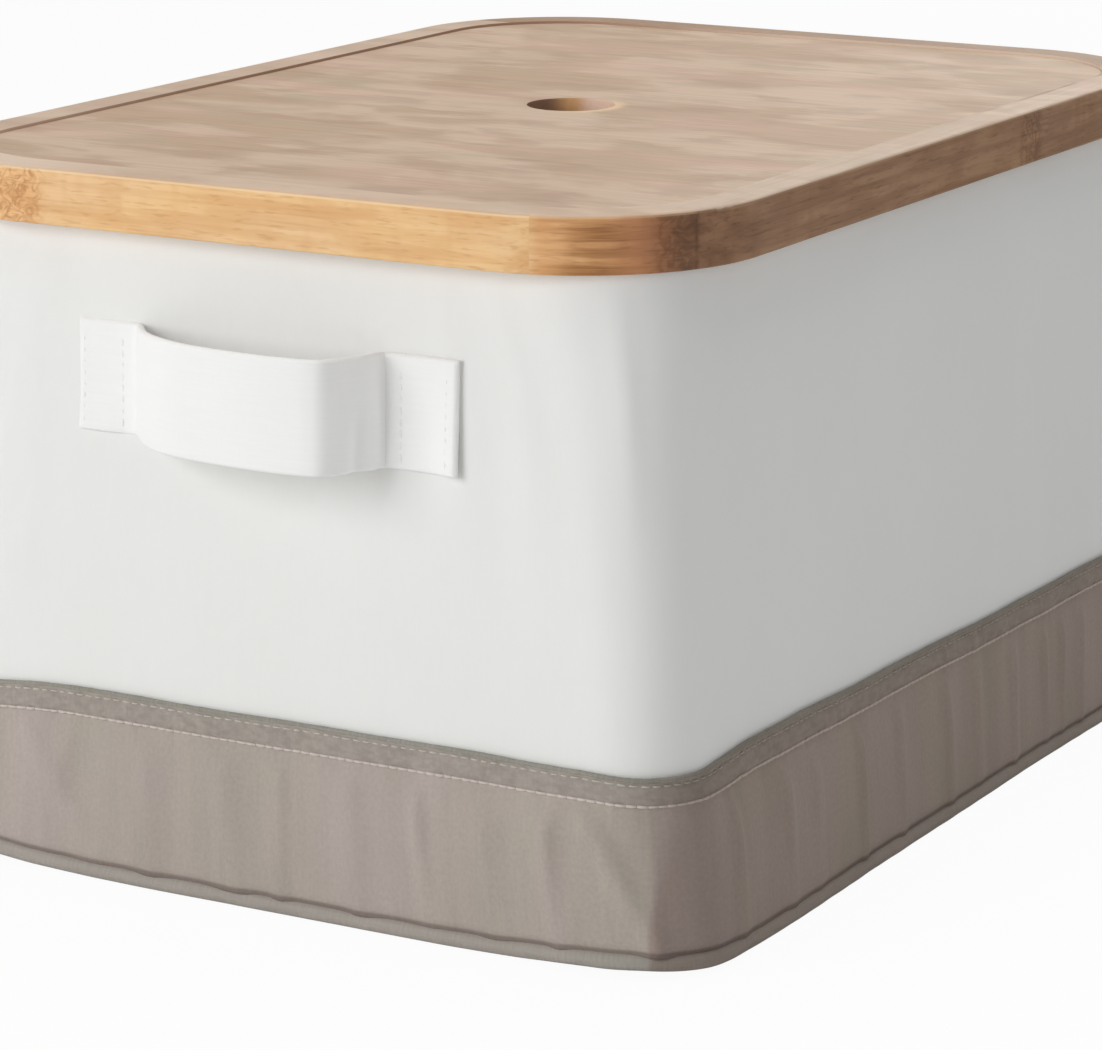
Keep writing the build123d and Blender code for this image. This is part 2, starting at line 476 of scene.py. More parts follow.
def painted_side_shade(s, colour, side):
    """Paints shade on the bin's long sides and, more, on its corners: sharply at the foot and softly at the
    hem.
    """
    across, lengthwise, up = s.split(s.vector("ABSOLUTE", s.place()))
    spread = s.ranged(up, 14 * MM, band_high, 1 * MM, 9 * MM)
    share = s.math("DIVIDE", s.math("SUBTRACT", across, crease_x + 0.6 * MM), spread)
    side = s.blend(side, darker(side, 0.92), lengthwise, 132 * MM, 152 * MM)
    return s.blend(colour, s.tinted(colour, side), share, -1, 1)


def thread(name, colour, side=(1, 1, 1, 1)):
    """Sewing thread, with its twist."""
    s = Shader(name, 0.6, Sheen_Weight=0.2, Specular_IOR_Level=0.4)
    inputs = {"Vector": s.place(), "Scale": 900.0}
    twist = s.add("TexWave", inputs, bands_direction="DIAGONAL").outputs["Fac"]
    twisted = s.blend(colour, darker(colour, 0.93), twist, 0, 1)
    return s.finish(painted_side_shade(s, twisted, side), twist, 0.3, 0.05 * MM)


def fibreboard(name, colour):
    """Pressed grey-brown board, with short fibres."""
    s = Shader(name, 0.9)
    fibres = s.noise(s.place(), (700, 700, 700), detail=4)
    flecks = s.noise(s.place(), (120, 120, 120), (3, 1, 2))
    share = s.times(s.ranged(fibres, 0.4, 0.65), s.ranged(flecks, 0.3, 0.7))
    return s.finish(s.mix(share, colour, darker(colour, 0.6)), fibres, 0.3, 0.1 * MM)


# Bamboo's tones: (pale fibres, brown fibres, dark fibres)
honey = (rgb(244, 204, 153), rgb(228, 178, 125), rgb(180, 120, 68))
amber = (rgb(240, 188, 134), rgb(218, 160, 106), rgb(146, 94, 52))
walnut = (rgb(174, 136, 104), rgb(146, 108, 78), rgb(84, 58, 42))
russet = (rgb(214, 152, 108), rgb(190, 130, 90), rgb(112, 70, 44))
umber = (rgb(158, 118, 90), rgb(126, 90, 66), rgb(70, 48, 36))
# Tints over parts of the wood: where it has yellowed, at knuckles, and along the frame's glued joints
yellowed = (1.0, 0.95, 0.72, 1)
reddened = (0.98, 0.86, 0.74, 1)
joint_shade = (0.55, 0.5, 0.46, 1)
# The frame's inner faces round the panel: painted shade towards the back left, painted light towards the
# right
inner_near, inner_shaded_brown, inner_lit_cream = rgb(208, 180, 160), rgb(170, 138, 116), rgb(222, 202, 184)
painted_edge_highlight = rgb(250, 226, 184)
# What the frame's top is tinted with, how much, and how much at the left. The top is painted paler than the
# sides, as painted light from above and painted sheen
pale_lit_top = (rgb(234, 214, 196), 0.3, 0.3)
faint_lit_top = (rgb(244, 222, 200), 0.25, 0.85)
brown_top = (rgb(168, 138, 114), 0.75, 0.75)
# Towards the side of the finger hole where a glow of light is painted on the panel
glow_side = (0.95, -0.1, 0)


def sanded_tones(s):
    """Pale sanded bamboo, with soft islands of brown, pink and grey-green."""
    place = s.place()
    islands = s.noise(place, (19, 34, 30), (0.4, 2.1, 0), 4, 0.5, 0.4)
    shade = s.noise(place, (34, 74, 50), (2, 5, 1), 4, 0.55, 0.3)
    pink = s.noise(place, (13, 34, 20), (4, 7, 1), 3, 0.5, 0.2)
    green = s.noise(place, (20, 62, 30), (9, 3, 1), 3, 0.5, 0.2)
    colour = s.blend(rgb(225, 199, 174), rgb(209, 180, 153), islands, 0.44, 0.57)
    colour = s.blend(colour, rgb(190, 160, 136), shade, 0.47, 0.66, 0.5)
    colour = s.blend(colour, rgb(230, 194, 174), pink, 0.5, 0.66, 0.4)
    return s.blend(colour, rgb(202, 186, 158), green, 0.54, 0.7, 0.45)


def rim_depth(s):
    """How far a point lies in from the lid's outer face."""
    place = s.vector("SUBTRACT", s.vector("ABSOLUTE", s.place()), (arc_x, arc_y, 1))
    return s.math("SUBTRACT", lid_corner_radius, s.vector("LENGTH", s.vector("MAXIMUM", place)))


def bamboo(
    name, grain, tones, knuckle, offset, lower_tones=(), heart=None, arris=0.1, tint=pale_lit_top, line=0.0
):
    """Solid bamboo: long fibres, short dashes, soft blotches and a knuckle. Its top is painted paler, as
    light and sheen, and tinted.

    grain is the axis of the fibres, 0 or 1, or "round" for the corner pieces, where it is an angle: 0 at
    the long rails and a right angle at the short ones. knuckle is its middle and half width along the
    grain, in metres or radians, and its strength, and heart a darker patch's middle and half width.
    lower_tones lists (low, high, tones), to which the tones change from high down to low along the grain.
    arris is how strong the painted highlight on the upper outer edge is, and line how dark the painted
    recess shade along the inner edge is near the back.
    """
    s = Shader(name, 0.5, Coat_Weight=0.06, Coat_Roughness=0.35, Specular_IOR_Level=0.2)
    place = s.place()
    x, y, up = s.split(place)
    if grain == "round":
        arc = s.split(s.vector("SUBTRACT", s.vector("ABSOLUTE", place), (arc_x, arc_y, 0)))
        across = s.vector("LENGTH", s.add("CombineXYZ", {0: arc[0], 1: arc[1]}).outputs[0])
        marks = s.math("ARCTAN2", arc[1], arc[0])
        along = s.times(marks, lid_corner_radius)
    else:
        along, across = (y, x) if grain else (x, y)
        marks = along

    def grained(along_scale, across_scale, shift, detail=3, roughness=0.5):
        inputs = {0: s.times(along, along_scale), 1: s.times(across, across_scale)}
        inputs[2] = s.times(s.math("ADD", up, shift + offset), across_scale)
        drawn_out = s.add("CombineXYZ", inputs).outputs[0]
        return s.noise(drawn_out, detail=detail, roughness=roughness)

    fibres = grained(26, 1000, 0, 4, 0.6)
    streaks = grained(18, 330, 0.3, 3, 0.55)
    blotches = grained(60, 130, 0.9)
    bands = grained(130, 12, 1.3, 2)
    dashes = grained(170, 1150, 0.7, 2, 0.4)
    patches = grained(20, 60, 1.7, 2)
    curls = s.noise(place, (240, 240, 290), (offset, 1, 2), 3, 0.45, 0.9)
    breaks = s.noise(place, (500, 500, 500), (offset, 5, 4), 2)

    def around(middle, half, soft=0.35):
        """1 within a stretch along the grain."""
        away = s.math("ABSOLUTE", s.math("SUBTRACT", marks, middle))
        return s.ranged(away, (1 - soft) * half, (1 + soft) * half, 1, 0)

    def toned(pale, brown, dark):
        colour = s.blend(pale, brown, streaks, 0.36, 0.66, 0.8)
        colour = s.blend(colour, brown, blotches, 0.45, 0.65, 0.5)
        colour = s.blend(colour, brown, bands, 0.5, 0.7, 0.35)
        colour = s.blend(colour, s.tinted(colour, yellowed), patches, 0.5, 0.68, 0.3)
        colour = s.blend(colour, dark, fibres, 0.5, 0.78, 0.3)
        colour = s.blend(colour, dark, dashes, 0.56, 0.72, 0.25)
        curl = s.ranged(s.math("ABSOLUTE", s.math("SUBTRACT", curls, 0.5)), 0, 0.12, 1, 0)
        curl = s.times(curl, s.ranged(breaks, 0.4, 0.6, 0.35, knuckle[2]))
        within = around(*knuckle[:2])
        colour = s.mix(s.times(within, knuckle[2]), colour, s.tinted(colour, reddened))
        colour = s.mix(s.times(within, curl), colour, dark)
        if heart:
            lines = s.times(s.ranged(streaks, 0.4, 0.62, 0.1, 0.8), s.ranged(fibres, 0.3, 0.6, 0.5, 1))
            colour = s.mix(s.times(around(*heart, soft=0.9), lines), colour, dark)
        return colour

    colour = toned(*tones)
    for low, high, other in lower_tones:
        colour = s.mix(s.ranged(marks, low, high, 1, 0), colour, toned(*other))
    joint = s.math("SUBTRACT", s.math("ABSOLUTE", y), joint_y)
    joint = s.ranged(s.math("ABSOLUTE", joint), 0.1 * MM, 1.1 * MM, 0.55, 0)
    colour = s.mix(joint, colour, s.tinted(colour, joint_shade))
    facing, depth = s.split(s.place("Normal"))[2], rim_depth(s)
    # Painted shade and light on the inner faces, by where they stand
    inner = s.blend(inner_near, inner_shaded_brown, y, -160 * MM, 20 * MM)
    inner = s.blend(inner, inner_lit_cream, x, -100 * MM, 20 * MM)
    colour = s.blend(colour, inner, depth, 5 * MM, 6.5 * MM)
    # A painted highlight on the upper outer edge
    colour = s.blend(colour, painted_edge_highlight, facing, 0.1, 0.35, arris)
    # The top's colour: the panel's pale tones, tinted, as painted light and sheen
    top = s.mix(s.ranged(x, -80 * MM, -30 * MM, tint[2], tint[1]), sanded_tones(s), tint[0])
    top = s.blend(top, tones[1], fibres, 0.4, 0.8, 0.15)
    # The inner edge gets a thin line of painted recess shade that comes and goes, and the outer edge a
    # darker line
    faint = s.times(s.ranged(depth, 10.0 * MM, 11.6 * MM), s.ranged(blotches, 0.3, 0.6))
    faint = s.times(faint, s.ranged(y, -20 * MM, 90 * MM, 0, line))
    top = s.mix(faint, top, rgb(150, 122, 100))
    top = s.mix(s.ranged(depth, 0.4 * MM, 1.3 * MM, 0.6 * arris, 0), top, tones[2])
    # Upward faces take the top's colour: painted light and sheen
    colour, relief = s.blend(colour, top, facing, 0.5, 0.8), s.math("ADD", fibres, dashes)
    return s.finish(colour, relief, 0.15, 0.06 * MM, s.ranged(fibres, 0.3, 0.8, 0.45, 0.6))


def lit_and_shaded_cut_edge(s):
    """The panel's cut edge round the finger hole: tan, with painted shade on one side and painted light on
    the other.
    """
    facing = s.split(s.place("Normal"))[0]
    colour = s.blend(rgb(255, 218, 196), rgb(232, 180, 128), facing, 0.0, 0.45)
    return s.blend(colour, rgb(156, 120, 98), facing, 0.5, 0.95)


def veneer(name):
    """The panel's bamboo veneer, with faint fibres, and a painted glow of light on one side of the finger
    hole.
    """
    s = Shader(name, 0.5, Specular_IOR_Level=0.3)
    fibres = s.noise(s.place(), (14, 620, 30), detail=4, roughness=0.6)
    colour = s.blend(sanded_tones(s), rgb(160, 130, 104), fibres, 0.35, 0.8, 0.2)
    flat = s.vector("MULTIPLY", s.place(), (1, 1, 0))
    # A painted glow of light beside the finger hole
    painted_glow = s.ranged(s.vector("LENGTH", flat), hole_radius, hole_radius + 5 * MM, 1, 0)
    painted_glow = s.times(painted_glow, s.ranged(s.vector("DOT_PRODUCT", flat, glow_side), 0, hole_radius, 0, 0.75))
    colour = s.mix(painted_glow, colour, rgb(255, 222, 176))
    upright = s.math("ABSOLUTE", s.split(s.place("Normal"))[2])
    # The veneer's own cut edge takes the same painted shade and light
    colour = s.mix(s.ranged(upright, 0.3, 0.6, 1, 0), colour, lit_and_shaded_cut_edge(s))
    return s.finish(colour, fibres, 0.12, 0.05 * MM, s.ranged(fibres, 0.3, 0.8, 0.45, 0.62))


def panel_board(name):
    """The panel's core, seen at the cut edge of the finger hole."""
    s = Shader(name, 0.75, Specular_IOR_Level=0.2)
    fibres = s.noise(s.place(), (700, 700, 700))
    colour = s.blend(lit_and_shaded_cut_edge(s), rgb(120, 84, 56), fibres, 0.4, 0.65, 0.06)
    return s.finish(colour, fibres, 0.2, 0.08 * MM)


white_cloth = woven("white_cloth", rgb(241, 241, 239), rgb(238, 238, 235), weave=0.08, slub=0.003)
strap_cloth = woven("strap_cloth", rgb(250, 250, 249), rgb(247, 247, 246), weave=0.1, slub=0.006)
lining_cloth = woven("lining_cloth", rgb(226, 225, 220), rgb(218, 217, 211), weave=0.15, slub=0.02)
# Painted shade for the bin's long sides
long_side_shade = (0.76, 0.71, 0.67, 1)
taupe = {"colour": rgb(184, 171, 166), "second": rgb(174, 166, 154), "slub": 0.015, "blotch": 0.9}
# hem is the doubled cloth's tone; foot is painted shade in the band's bottom seam
hem_and_seam_shade = {"hem": rgb(166, 157, 149), "foot": rgb(112, 97, 90)}
taupe_cloth = woven("taupe_cloth", **taupe, stripes=0.03, side=long_side_shade)
band_cloth = woven("band_cloth", **taupe, stripes=0.05, side=long_side_shade, **hem_and_seam_shade)
piping_cloth = woven("piping_cloth", rgb(175, 167, 160), rgb(163, 158, 149), slub=0.05, side=long_side_shade)
# The band's turned top edge, darkened by painted shade
shaded_edge_tones = (rgb(158, 155, 146), rgb(148, 145, 134))
shaded_edge_cloth = woven("shaded_edge_cloth", *shaded_edge_tones, slub=0.1, blotch=0.9, side=long_side_shade)
# band_thread's side tint is painted shade on the long sides too
band_thread = thread("band_thread", rgb(198, 193, 182), (0.62, 0.58, 0.54, 1))
pale_thread = thread("pale_thread", rgb(214, 202, 195), long_side_shade)
white_thread = thread("white_thread", rgb(250, 250, 249))


def dressed(piece, material, slot, *replaced):
    """Gives a piece of the bin its material and hides the CAD nodes that it stands for; its slot is not
    used.
    """
    piece.data.materials.append(material)
    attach(piece, "bin")
    if replaced:
        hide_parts(*replaced)


# White outer fabric

wall_line = Stations(2 * MM)
wall_waves = SoftNoise(11, wall_line.around, 60, 260)
wall_ripples = SoftNoise(12, wall_line.around, 22, 120)

# Swells and dents of the fabric round a strap and a fold up the corner beside it, turned about at the
# other end: (distance round the wall, z, half width, half height, millimetres)
wall_marks = [
    (-86, 168, 16, 7, 0.9), (-70, 176, 30, 6, -0.5), (-81, 150, 8, 34, 0.8), (-83, 105, 9, 34, 1),
    (-30, 168, 18, 6, 0.5), (14, 171, 26, 7, -0.4), (68, 150, 5, 30, 0.5), (80, 128, 6, 40, -0.4),
    (90, 150, 5, 36, 0.5), (-20, 104, 60, 14, 0.4), (116.5, 160, 7, 34, 0.4), (118.3, 160, 3, 34, 0.7),
]
end_middles = [wall_line.near(0, y / MM) for y in (-base_half_y, base_half_y)]


def wall_lift(z):
    """How far the white fabric stands out from its boards at a height."""
    s = wall_line.s
    calm = ramp(band_high, band_high + 40 * MM, z) * (1 - ramp(wall_top - 16 * MM, wall_top, z))
    waves = 0.45 * MM * (1 + wall_waves(s, z)) + 0.06 * MM * wall_ripples(s, z)
    for x, height, half_width, half_height, lift in wall_marks:
        for middle in end_middles:
            off = wall_line.off(middle + x * MM)
            mark = bump(off, 0, half_width * MM) * bump(z, height * MM, half_height * MM)
            waves = waves + lift * MM * mark
    return np.clip(waves, 0, 2.1 * MM) * calm


def make_outer_fabric():
    """One cloth: up the outside, over the top edge and down inside to its hem."""
    line, rows, v = wall_line, [], []
    inner_fold = face_inset - fabric_thickness / 2
    heights = np.linspace(wall_bottom, wall_top - 1 * MM, 92)
    for z in heights:
        rows.append(line.wall(z, wall_lift(z), drawn_sizes))
        v.append(z)
    turns = 8
    for k in range(1, turns + 1):
        share = k / turns
        rise = sin(share * pi) * 1 * MM
        rows.append(line.wall(wall_top - 1 * MM + rise, -share * face_inset))
        v.append(v[-1] + inner_fold / turns)
    for z in np.linspace(wall_top - 2 * MM, wall_top - facing_depth, 8):
        rows.append(line.wall(z, -face_inset))
        v.append(v[-1] + 3 * MM)
    # Back along the inside of the cloth
    under_fold = wall_top - fabric_thickness - layer_gap
    rows.append(line.wall(wall_top - facing_depth, -lining_inset))
    rows += [line.wall(under_fold, -inset) for inset in (lining_inset, fabric_thickness)]
    for z in heights[-6::-6]:
        rows.append(line.wall(z, wall_lift(z) - fabric_thickness, drawn_sizes))
    rows.append(line.wall(wall_bottom, -fabric_thickness))
    v += [v[-1] + k * 3 * MM for k in range(1, len(rows) - len(v) + 1)]
    piece = grid_object("outer_fabric_cloth", rows, line.s, np.array(v))
    dressed(piece, white_cloth, "white_fabric", "outer_fabric")


# Taupe band with its hem, folds and stitching

band_line = Stations(1 * MM)
band_around = band_line.around
_, band_normals = band_line.ring(*drawn_sizes(band_high))
edge_noise = SoftNoise(21, band_around, 40, 1000)
pucker_noise = SoftNoise(22, band_around, 2.6, 14, waves=110)
band_billow = SoftNoise(23, band_around, 60, 120)
tuck_noise = SoftNoise(24, band_around, 9, 1000, waves=60)

# The soft base bulges and lifts a little towards its corners: (x, y, millimetres), repeated at the other end
bulge_marks = [
    (76, -171, 0), (106, -171, 0.5), (119, -166, 1.4), (126, -151, 3), (127, -125, 3.6),
    (127, -96, 3.2), (127, -55, 2), (127, 0, 1.2), (127, 60, 0),
]
lift_marks = [
    (-113, -170, 2.8), (-92, -171, 2.4), (-77, -171, 1), (-55, -171, 0.2), (-36, -171, 0), (61, -171, 0),
    (80, -171, 0.5), (104, -171, 2), (115, -169, 2.5), (123, -162, 1.7), (127, -145, 0.2), (127, -125, 0),
    (127, 140, 0),
]
# The height of the band's upper edge off its even line
edge_marks = [
    (-113, -170, -1.8), (-92, -171, -1.8), (-79, -171, -0.5), (-68, -171, 0.1), (-2, -171, 0.5),
    (42, -171, 0.8), (104, -171, 0.4), (117, -167, -1), (126, -150, -1.1), (127, -125, 0.3),
    (127, -96, 0.4), (127, -60, -0.2), (127, -10, -0.7), (127, 40, -1.4), (127, 110, -1.5),
]
base_bulge = band_line.along(bulge_marks)
base_lift = band_line.along(lift_marks)
band_edge = band_line.along(edge_marks) + 0.12 * MM * edge_noise(band_line.s, 0)

# Folds: (x, y, half width, height, lean down the band, share left at the foot), repeated at the other end
fold_marks = [
    (-86, -171, 5, 1.5, 0.7, 0.3), (-64, -171, 4, 1.3, -0.1, 0.3), (-37, -171, 5, 1.5, 0.05, 0.8),
    (-12, -171, 5.5, 1.9, 0.1, 0.9), (7, -171, 3, 1.3, 0, 1), (30, -171, 4.5, 1.7, 0.05, 0.9),
    (50, -171, 2.6, 1.5, 0.1, 0.3), (72, -171, 5, 1.3, 0.05, 0.8), (91, -171, 3.4, 2.4, 0.06, 0.6),
    (100, -171, 3.6, 2.2, 0.42, 0.8), (127, -142, 3, 1.8, 0.1, 0.5), (127, -111, 3, 1.6, 0.05, 0.5),
    (127, -92, 3.5, 0.9, 0, 0.5), (127, -64, 2.2, 1.6, 0.05, 0.7), (127, -36, 2.6, 1.3, 0, 0.7),
    (127, -5, 3, 1.5, 0.05, 0.6), (127, 18, 3, 1, 0, 0.5), (127, 44, 2.6, 1.6, 0, 0.8),
    (127, 66, 2.2, 1.3, 0.05, 0.5), (127, 80, 2, 1.2, 0, 0.5), (127, 95, 2.2, 1.2, 0, 0.7),
    (127, 118, 4, 1.3, 0.1, 0.6), (127, 143, 3, 1.2, 0, 0.6),
]
# The creases that run down the corners
crease_places = [(119, -166), (-119, 166), (-119, -166), (119, 166)]
crease_reach = 3.0 * MM
crease_height = 1.3 * MM


def band_lift(depth):
    """How far the band stands out at a depth below its top edge."""
    free = ramp(lower_row + 0.5 * MM, lower_row + 10 * MM, depth)
    foot = ramp(lower_row + 12 * MM, band_length - 3 * MM, depth)
    lift = 0.35 * MM * (1 + band_billow(band_line.s, depth)) * free * (1 - 0.8 * foot)
    for x, y, width, height, lean, left in fold_marks:
        for side in (1, -1):
            off = band_line.off(band_line.near(side * x, side * y) + lean * depth)
            lift = lift + height * MM * bump(off, 0, width * MM) * free * (1 - (1 - left * 0.7) * foot)
    for x, y in crease_places:
        off = np.abs(band_line.off(band_line.near(x, y)))
        lift = lift + crease_height * np.exp(-off / crease_reach) * (0.1 + 0.4 * free + 0.5 * foot)
    in_hem = ramp(0, upper_row, depth) * (1 - ramp(lower_row, lower_row + 5 * MM, depth))
    puckers = 0.17 * MM * pucker_noise(band_line.s, depth) * in_hem
    rows = bump(depth, upper_row, 0.8 * MM) + bump(depth, lower_row, 0.8 * MM)
    hem = 0.4 * MM * (1 - ramp(lower_row - 0.3 * MM, lower_row + 0.9 * MM, depth))
    tuck = 0.9 * MM * ramp(band_length - 3.5 * MM, band_length, depth)
    tuck = tuck * (1 + 0.12 * tuck_noise(band_line.s, 0))
    lift = np.clip(lift + hem + puckers - 0.3 * MM * rows, -0.1 * MM, None) - tuck
    return np.maximum(lift, foot_outset - band_outset)


def band_rows(depths, extra):
    """Rows of points down the band, with extra added to how far it stands out."""
    top = band_high + band_edge
    made = []
    for depth in depths:
        share = depth / band_length
        z = top + (band_low + base_lift - foot_reach - top) * share
        out = band_outset + extra + base_bulge * share + band_lift(depth)
        points, normals = band_line.ring(*drawn_sizes(band_high - depth))
        made.append(np.column_stack([points + normals * out[:, None], z]))
    return made


def make_band():
    depths = np.concatenate([np.linspace(0, 12 * MM, 32), np.linspace(12 * MM, band_length, 46)[1:]])
    outer, inner = band_rows(depths, 0), band_rows(depths[::-1][::4], -band_thickness)
    v = np.concatenate([depths, depths[-1] + np.arange(1, len(inner) + 1) * 4 * MM])
    piece = grid_object("base_band_cloth", (outer + inner)[::-1], band_line.s, -v[::-1])
    dressed(piece, band_cloth, "taupe_fabric", "base_band")


def tube(name, row, count, girth):
    """A tube round the bin. row gives its points at an angle round the tube."""
    rows = [row(2 * pi * k / count) for k in range(count)]
    return grid_object(name, rows, band_line.s, np.arange(count) * girth / count)


def make_band_edge():
    """The turned edge that closes the top of the band, darkened by painted shade."""
    half_thick, half_high, sink = 0.78 * MM, 0.62 * MM, 0.25 * MM
    line = band_rows([0.0], -band_thickness / 2)[0]
    swell = 1 + 0.08 * SoftNoise(26, band_around, 4, 1000, waves=60)(band_line.s, 0)

    def row(angle):
        out, rise = half_thick * cos(angle) * swell, half_high * sin(angle) * swell
        return np.column_stack([line[:, :2] + band_normals * out[:, None], line[:, 2] - sink + rise])

    piece = tube("base_band_edge", row, 12, pi * (half_thick + half_high))
    dressed(piece, shaded_edge_cloth, "taupe_fabric")


def make_band_stitches(name, material, depth, length, gap, radius):
    line = band_rows([depth], 0.4 * radius)[0]
    normals = np.column_stack([band_normals, np.zeros(len(line))])
    line, normals = np.vstack([line, line[:1]]), np.vstack([normals, normals[:1]])
    dressed(stitching(name, stitch_row(line, normals, length, gap, radius)), material, "taupe_fabric")


def make_piping():
    """The cord round the bottom edge."""
    low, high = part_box("bottom_piping")
    radius = (high.z - low.z) / 2
    outset = high.x - radius - wall_sizes(low.z + radius)[0]
    twist = SoftNoise(41, band_around, 12, 1000, waves=50)

    def row(angle):
        swell = 1 + 0.05 * twist(band_line.s, 0.07 * angle)
        out = outset + base_bulge + radius * cos(angle) * swell * 0.98
        made = band_line.wall(low.z + radius + radius * sin(angle), out)
        made[:, 2] += base_lift
        return made

    piece = tube("bottom_piping_cord", row, 20, 2 * pi * radius)
    dressed(piece, piping_cloth, "taupe_piping", "bottom_piping")


# Lining and bottom


def make_wall_lining():
    low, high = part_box("wall_lining")
    line = wall_line
    creases = SoftNoise(51, line.around, 30, 90)
    rows, v = [], []
    heights = np.linspace(low.z, high.z, 60)
    for z in heights:
        calm = ramp(low.z, low.z + 12 * MM, z) * (1 - ramp(high.z - 8 * MM, high.z, z))
        lift = np.clip(0.3 * MM * (1 + creases(line.s, z)), 0, None) * calm
        rows.append(line.wall(z, -face_inset - lift))
        v.append(z)
    for z in heights[::-8]:
        rows.append(line.wall(z, -lining_inset))
        v.append(v[-1] + 8 * MM)
    piece = grid_object("wall_lining_cloth", rows[::-1], line.s, -np.array(v[::-1]))
    dressed(piece, lining_cloth, "lining_fabric", "wall_lining")


def make_plate_cloth(name, node, radius, material, slot, top_wave=0.0, follow_base=False):
    """A flat cloth in a node's box, in rings from the middle of its top to the middle below."""
    low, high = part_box(node)
    thick, line = high.z - low.z, wall_line
    waves = SoftNoise(61, line.around, 40, 500)
    shares = np.linspace(0.02, 1, 26)

    def ring(share, z, inset=0.0):
        corner = max(radius * share - inset, 0.3 * MM)
        points, _ = line.ring(high.x * share - inset, high.y * share - inset, corner)
        wave = top_wave * waves(line.s, share * 3) * ramp(1, 0.85, share) if z > low.z else 0
        return np.column_stack([points, np.full(len(points), z) - np.abs(wave)])

    rows = [ring(share, high.z) for share in shares[:-1]]
    for k in range(7):
        angle = pi * (k / 6)
        row = ring(1, low.z + thick / 2 * (1 + cos(angle)), thick / 2 * (1 - sin(angle)))
        if follow_base:
            _, normals = line.ring(high.x, high.y, radius)
            lift = line.along(lift_marks)
            row[:, :2] += normals * (0.8 * line.along(bulge_marks) + 0.2 * lift)[:, None]
            row[:, 2] += 0.9 * lift
        rows.append(row)
    rows += [ring(share, low.z) for share in shares[-2::-1]]
    piece = grid_object(name, rows[::-1], line.s, np.arange(len(rows)), close_rows=False)
    close_ends(piece, len(line.s), flat=True)
    dressed(piece, material, slot, node)


# Carrying straps

strap_low, strap_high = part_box("front_strap")
strap_middle = (strap_low.z + strap_high.z) / 2
# The front strap's line seen from above: (x, distance of its middle from the wall)
strap_points = [
    (-60, 1.15), (-50, 1.15), (-44, 1.2), (-40, 2.2), (-36, 6.5), (-31.5, 11), (-24.5, 15.8),
    (-14.5, 20), (-1.5, 22.4), (11.5, 23), (22, 22.4), (26.5, 21.6), (29.2, 20.2), (31.2, 17),
    (34.2, 10.6), (36.4, 3.2), (38.6, 1.25), (45, 1.15), (53, 1.15), (60, 1.15),
]


def smooth_line(points, per_span):
    """A Catmull-Rom curve through points."""
    padded = np.vstack([2 * points[0] - points[1], points, 2 * points[-1] - points[-2]])
    made = []
    for k in range(1, len(padded) - 2):
        a, b, c, d = padded[k - 1 : k + 3]
        for t in np.arange(per_span) / per_span:
            curve = 2 * b + (c - a) * t + (2 * a - 5 * b + 4 * c - d) * t**2 + (3 * b - a - 3 * c + d) * t**3
            made.append(0.5 * curve)
    made.append(points[-1])
    return np.array(made)


def strap_frame(side):
    """Places a strap's own (along, out, up) numbers on the front or back wall."""
    lean = atan((base_half_y - top_half_y) / (wall_top - wall_bottom))
    _, half_y, _ = wall_sizes(strap_middle)
    origin = np.array([-side * strap_offset, side * half_y, strap_middle])
    along = np.array([-side, 0, 0])
    out = np.array([0, side * cos(lean), sin(lean)])
    up = np.array([0, -side * sin(lean), cos(lean)])
    return origin, along, out, up


def strap_curl(x, w):
    """How far the strap's loose outer ends curl off the wall, more at their lower corners."""
    low_share = 0.5 - w / strap_width
    curl = (0.5 + 1.1 * low_share) * MM * ramp(51 * MM, 60 * MM, x)
    return curl + 0.9 * MM * (ramp(0.6, 1, low_share) * ramp(-42 * MM, -50 * MM, x))


def strap_section():
    """A flat strip with rounded long edges, as (up, out) points."""
    half_width, half_thick = strap_width / 2, strap_thickness / 2
    section = []
    for sx, sy in ((1, 1), (1, -1), (-1, -1), (-1, 1)):
        for k in range(5):
            turn = k / 4 * pi / 2
            a, b = sin(turn), cos(turn)
            if sx != sy:
                a, b = b, a
            section.append((sx * (half_width - half_thick + half_thick * a * 0.98), sy * half_thick * b))
        if sx != sy:
            section += [(-sx * half_width * k / 5, sy * half_thick) for k in range(-4, 5)]
    return np.array(section)


